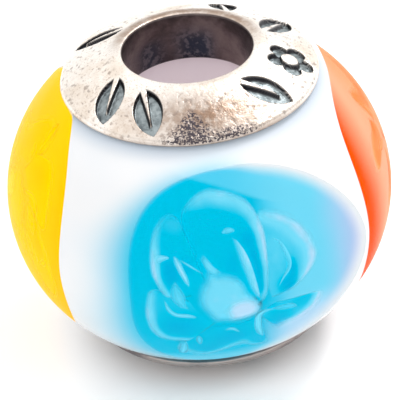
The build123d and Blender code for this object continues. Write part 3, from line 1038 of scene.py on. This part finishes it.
def make_stain_group():
    """One medallion's colour in the opal glass: its bed under the clear glass and its halo outside."""
    numbers = ("inside", "across_x", "across_y", *STAIN_NUMBERS)
    colours = ("under", *STAIN_COLOURS)
    group, given, result = new_group(
        "medallion_stain", {**dict.fromkeys(numbers, "Float"), **dict.fromkeys(colours, "Color")},
        {"colour": "Color", "covered": "Float"})
    place = object_place(group)
    x, y, z = coordinates(group, place)
    right = plus(group, times(group, x, given["across_x"]), times(group, y, given["across_y"]))
    up = times(group, z, 1 / MM)
    drift = times(group, minus(group, noise_at(group, place, 380.0), 0.5), DRIFT)
    along = plus(group, right, drift)
    softened = ramp(group, given["soft"], 0.0, 0.5)

    slant = plus(group, times(group, right, UPPER_RIGHT[0]), times(group, up, UPPER_RIGHT[1]))
    over = times(group, softened, ramp(group, slant, *LIGHT_SHOULDER))
    light = maths(group, "MAXIMUM", over, ramp(group, along, given["light_from"], given["light_to"]))
    bed = blend(group, light, given["deep"], given["light"])
    bed = blend(group, times(group, light, ramp(group, along, *PALE_ACROSS)), bed, given["pale"])
    bed = tones(group, along, *FAR_ACROSS, bed, given["far"])
    foot = times(group, ramp(group, along, *FOOT_ACROSS), ramp(group, up, *FOOT_DOWN), softened)
    bed = blend(group, foot, bed, given["palest"])
    edge = times(group, ramp(group, up, *EDGE_DOWN, 0.0, EDGE_STRENGTH), softened)
    bed = blend(group, edge, bed, given["pale"])

    inside = given["inside"]
    rightward = times(group, ramp(group, right, *SOFT_ACROSS), softened)
    low = ramp(group, up, 0.5, -2.5)
    rise = times(group, rightward, given["soft"], plus(group, times(group, low, 0.4), 1.0))
    rising = maths(group, "DIVIDE", inside, plus(group, rise, 0.04), clamp=True)
    filled = times(group, ramp(group, rising, 0.0, 1.0), ramp(group, inside, 0.0, HALO_START))

    wide = ramp(group, up, 4.6, 1.2, 0.4, 1.0)
    spread = times(group, given["halo"], plus(group, wide, times(group, low, 0.25)))
    beyond = maths(group, "DIVIDE", minus(group, inside, HALO_START), spread)
    fading = ramp(group, plus(group, beyond, 1.0, clamp=True), 0.0, 1.0)
    glow = times(group, minus(group, 1.0, rightward), given["glow"])
    halo = times(group, maths(group, "POWER", fading, HALO_POWER), glow)
    around = blend(group, halo, given["under"], bed)
    feed(group, result, {"colour": blend(group, filled, around, bed),
                         "covered": ramp(group, inside, -0.005, 0.02)})
    return group


WHITE = (1.0, 1.0, 1.0)
# The glass's own milky and white tones, the blue of the painted shade beside the caps, and the colour of the
# painted glow in the bore
OPAL = dict(milky=(0.695, 0.71, 0.73), white=(0.73, 0.73, 0.735), painted_cap_shade=(0.30, 0.47, 0.66),
            in_bore=(0.22, 0.16, 0.175))


def make_opal_material(polish, stain):
    """White opal glass: bright and glossy, with painted blue shade beside the caps and a painted glow in its
    bore, stained round and under each medallion.
    """
    material, tree, principled = shader("white_opal_glass", {
        "Roughness": 0.55, "Coat Roughness": 0.04, "Coat IOR": 1.25, "Specular IOR Level": 0.0,
        "Emission Strength": 1.0})
    place = object_place(tree)
    colour = tones(tree, noise_at(tree, place, 260.0), 0.35, 0.7, OPAL["milky"], OPAL["white"])
    height = maths(tree, "ABSOLUTE", coordinates(tree, place)["Z"])
    # Painted shade: towards each end the glass turns darker and bluer, where the caps' edges overhang it.
    colour = blend(tree, ramp(tree, height, 4.15 * MM, 4.7 * MM, 0.0, 0.5), colour, OPAL["painted_cap_shade"])
    gloss = 1.0
    for name in NAMES:
        turn = math.radians(MEDALLIONS[name]["azimuth"])
        stained = place_group(tree, stain, {
            "inside": field(tree, f"inside_{name}"), "under": colour,
            "across_x": math.cos(turn) / MM, "across_y": math.sin(turn) / MM,
            **{key: GLASS[name][key] for key in STAIN_NUMBERS + STAIN_COLOURS}})
        colour = stained["colour"]
        gloss = minus(tree, gloss, stained["covered"], clamp=True)
    waves = place_group(tree, polish, {"scale": 260.0, "fine_share": 0.1})["height"]
    normal = relief(tree, waves, 0.25, 0.12 * MM)
    # The emission in the bore is a painted glow that lights the glass lining it.
    feed(tree, principled, {
        "Base Color": colour, "Coat Weight": gloss, "Normal": normal, "Coat Normal": normal,
        "Emission Color": blend(tree, field(tree, "bore"), (0.0, 0.0, 0.0), OPAL["in_bore"])})
    return material


def let_light_through(tree, surface):
    """Lets lamps and soft light pass a shader, so that it throws no shade inside the medallion."""
    path = add_node(tree, "ShaderNodeLightPath", {})
    passing = maths(tree, "MAXIMUM", path["Is Shadow Ray"], path["Is Diffuse Ray"])
    clear = add_node(tree, "ShaderNodeBsdfTransparent", {})
    mixed = add_node(tree, "ShaderNodeMixShader", {0: passing, 1: surface, 2: clear[0]})
    feed(tree, tree.nodes["Material Output"], {"Surface": mixed[0]})


def make_lens_material(name, polish):
    """Clear glass with a faint body colour."""
    material, tree, principled = shader(f"{name}_clear_glass", {
        "Base Color": WHITE, "Roughness": 0.0, "IOR": GLASS_IOR, "Transmission Weight": 1.0,
        "Specular Tint": (0.12, 0.12, 0.12)})
    waves = place_group(tree, polish, {"scale": 300.0, "fine_share": 0.08})["height"]
    normal = relief(tree, waves, 0.2, 0.1 * MM)
    feed(tree, principled, {"Normal": normal})
    bent = add_node(tree, "ShaderNodeBsdfRefraction",
                    {"Color": WHITE, "Roughness": 0.0, "IOR": GLASS_IOR, "Normal": normal})
    quieter = add_node(tree, "ShaderNodeMixShader", {0: 0.8, 1: principled.outputs[0], 2: bent[0]})
    let_light_through(tree, quieter[0])
    tint = add_node(tree, "ShaderNodeVolumeAbsorption", {"Color": GLASS[name]["pale"], "Density": 30.0})
    feed(tree, tree.nodes["Material Output"], {"Volume": tint[0]})
    return material


def make_petal_material(name):
    """Petal glass, from the medallion's deep colour at its foot to pale at its rim."""
    material, tree, principled = shader(f"{name}_petal_glass", {"Roughness": 0.6, "Specular IOR Level": 0.0})
    glass = GLASS[name]
    streak = noise_at(tree, object_place(tree), 1400.0, 3.0, 0.6)
    pale = field(tree, "paleness")
    uneven = times(tree, minus(tree, streak, 0.5), 0.7)
    share = plus(tree, pale, times(tree, uneven, ramp(tree, pale, 0.0, 0.5, 0.1, 1.0)))
    colour = blend(tree, ramp(tree, share, -1.0, 0.0, smooth=False), glass["deeper"], glass["inner"])
    colour = blend(tree, ramp(tree, share, 0.0, 0.8, smooth=False), colour, glass["pale"])
    colour = tones(tree, share, 0.9, 1.35, colour, glass["palest"])
    feed(tree, principled, {"Base Color": colour, "Alpha": field(tree, "solidness")})
    let_light_through(tree, principled.outputs[0])
    return material


# Colours of the silver: pairs that its skin, its engraving and its bore vary between, and plain ones. The
# bottom cap's darker pair and the colour of the engraving's walls are painted shade, and the brown is partly
# painted shade.
SILVER = dict(skin=((0.96, 0.91, 0.85), (0.77, 0.68, 0.59)), bottom_cap_shade=((0.38, 0.33, 0.31), (0.17, 0.155, 0.16)),
              engraved=((0.32, 0.36, 0.37), (0.19, 0.22, 0.23)),
              bore=((0.20, 0.16, 0.15), (0.09, 0.07, 0.07)),
              tarnish=((0.035, 0.042, 0.06), (0.13, 0.125, 0.14)), wall_shadow=(0.03, 0.03, 0.035),
              brown=(0.26, 0.17, 0.12), freckle=(0.42, 0.31, 0.23), pit=(0.24, 0.18, 0.15),
              grain=(0.07, 0.06, 0.07))


def make_silver_material():
    """Cast silver with a warm worn skin, dark in its engraving, its pits and its bore, with painted shade on
    the engraving's walls, under the flange, over the dome's front and over all of the bottom cap.
    """
    material, tree, principled = shader("tarnished_silver", {"Metallic": 1.0})
    place = object_place(tree)
    mottle = noise_at(tree, place, 520.0, 6.0, 0.62)
    speckle = noise_at(tree, place, 4200.0, 3.0, 0.6)
    fine = noise_at(tree, place, 14000.0, 2.0, 0.6)
    cut, rough = field(tree, "engraved"), field(tree, "rough")

    skin = tones(tree, mottle, 0.42, 0.70, *SILVER["skin"])
    # The brown over the dome's front is partly tarnish and partly painted shade on the bright front.
    tan = times(tree, field(tree, "brown_and_front_shade"), ramp(tree, speckle, 0.30, 0.60, 0.72, 1.0))
    skin = blend(tree, tan, skin, SILVER["brown"])
    skin = blend(tree, ramp(tree, fine, 0.54, 0.70, 0.0, 0.55), skin, SILVER["freckle"])
    # The pits field darkens the real pits and, as painted shade, the flange's underside and lower edge.
    skin = blend(tree, times(tree, field(tree, "pits"), 0.6), skin, SILVER["pit"])
    grains = ramp(tree, plus(tree, fine, times(tree, rough, 0.14)), 0.52, 0.66)
    skin = blend(tree, times(tree, ramp(tree, rough, 0.05, 0.5), grains), skin, SILVER["grain"])
    # Painted shade: the bottom cap's whole skin is darkened.
    skin = blend(tree, field(tree, "bottom_cap_shade"), skin, tones(tree, mottle, 0.4, 0.65, *SILVER["bottom_cap_shade"]))

    floor = tones(tree, speckle, 0.4, 0.65, *SILVER["engraved"])
    colour = tones(tree, cut, 0.35, 0.95, skin, floor)
    # Painted shadow: the engraving's walls are near black.
    colour = tones(tree, field(tree, "wall_shadow"), 0.3, 0.9, colour, SILVER["wall_shadow"])
    tarnish = tones(tree, speckle, 0.45, 0.62, *SILVER["tarnish"])
    bore = blend(tree, field(tree, "tarnish"), tones(tree, mottle, 0.38, 0.6, *SILVER["bore"]), tarnish)
    satin = plus(tree, ramp(tree, mottle, 0.35, 0.7, 0.30, 0.46), times(tree, cut, 0.12))
    grit = plus(tree, speckle, times(tree, fine, 0.6))
    feed(tree, principled, {"Base Color": blend(tree, field(tree, "bore"), colour, bore),
                            "Roughness": satin, "Normal": relief(tree, grit, 0.6, 0.03 * MM)})
    return material


# The bead

polish_group = make_flame_polish_group()
make_glass_body(make_opal_material(polish_group, make_stain_group()))

for name in NAMES:
    make_lens(name, make_lens_material(name, polish_group))
    make_flower(name, make_petal_material(name))

silver = make_silver_material()
make_cap("silver_cap_top", silver, seed=2.0, flip=False)
make_cap("silver_cap_bottom", silver, seed=11.0, flip=True)


# Floor, light and camera, in metres

FLOOR_REACH = 0.6


def make_floor():
    mesh = bpy.data.meshes.new("floor")
    corners = [(-FLOOR_REACH, -FLOOR_REACH), (FLOOR_REACH, -FLOOR_REACH),
               (FLOOR_REACH, FLOOR_REACH), (-FLOOR_REACH, FLOOR_REACH)]
    mesh.from_pydata([(x, y, -LIP_HEIGHT * MM) for x, y in corners], [], [(0, 1, 2, 3)])
    paper = {"Base Color": (0.97, 0.97, 0.97), "Roughness": 0.9, "Specular IOR Level": 0.1}
    mesh.materials.append(shader("white_paper", paper)[0])
    floor = add_object("floor", mesh)


def make_light(name, place, size, power):
    """A round softbox that points at the bead."""
    lamp = bpy.data.lights.new(name, "AREA")
    lamp.shape = "DISK"
    lamp.size = size
    lamp.energy = power
    light = add_object(name, lamp)
    light.location = place
    light.rotation_euler = (-Vector(place)).to_track_quat("-Z", "Y").to_euler()


def make_world():
    """A white tent, brighter overhead than near the table."""
    world = bpy.data.worlds.new("white_tent")
    world.use_nodes = True
    tree = world.node_tree
    up = coordinates(tree, add_node(tree, "ShaderNodeTexCoord", {})["Generated"])["Z"]
    brightness = ramp(tree, up, 0.0, 1.0, 0.98, 1.44)
    feed(tree, tree.nodes["Background"], {"Color": WHITE, "Strength": brightness})
    bpy.context.scene.world = world


def make_camera():
    data = bpy.data.cameras.new("camera")
    data.sensor_width = SENSOR
    data.lens = SENSOR * FOCAL_PIXELS / IMAGE_PIXELS
    data.clip_start = 0.005
    data.clip_end = 5.0
    camera = add_object("camera", data)
    bpy.context.scene.camera = camera
    back = Vector(CAMERA_BACK)
    look = (-back).to_track_quat("-Z", "Y").to_matrix() @ Matrix.Rotation(-CAMERA_ROLL, 3, "Z")
    distance = CAMERA_DISTANCE * MM
    across, along = ((pixel - IMAGE_PIXELS / 2) / FOCAL_PIXELS * distance for pixel in BEAD_CENTRE_PIXEL)
    shift = look @ Vector((-across, along, 0))
    camera.matrix_world = Matrix.Translation(back * distance + shift) @ look.to_4x4()


make_floor()
make_world()
make_light("softbox_above", place=(0.14, 0.11, 0.25), size=0.10, power=0.34)
make_camera()
bpy.context.scene.view_settings.view_transform = "Standard"
